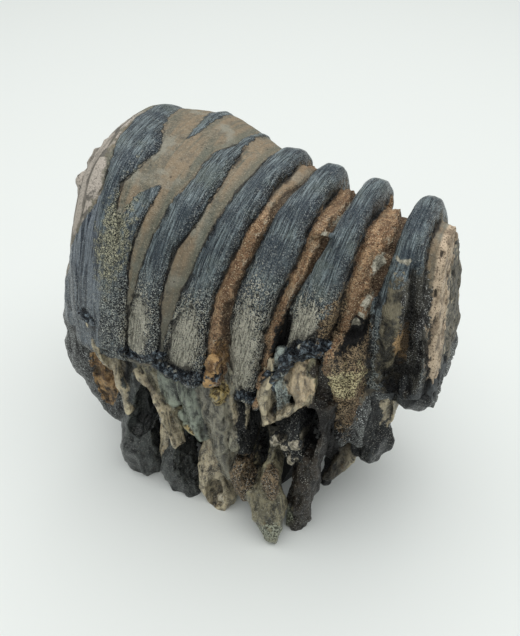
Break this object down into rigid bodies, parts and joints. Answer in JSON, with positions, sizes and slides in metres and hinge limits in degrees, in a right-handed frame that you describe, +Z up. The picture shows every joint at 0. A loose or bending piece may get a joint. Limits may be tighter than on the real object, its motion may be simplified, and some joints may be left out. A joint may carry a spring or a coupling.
{
  "type": "fossil mammoth molar",
  "caption": "Rear part of a fossil elephant-family grinding tooth: upright enamel plates set in cement, rounded heel, one broken end and a cluster of broken roots that it stands on.",
  "frame": {"origin": "on the ground the roots stand on, under the middle of the bounding box", "axes": "+X along the tooth from its rounded heel to its broken end, +Y across it to the far side, +Z up from the roots to the crown"},
  "size_m": [0.1461, 0.1046, 0.1448],
  "materials": {
    "tooth": "mineralised enamel, cement and dentine: slate-grey satin plates, matt tan to orange-brown strips, dark glossy broken roots"
  },
  "bodies": {
    "root": {"molar": "tooth"}
  },
  "joints": []
}
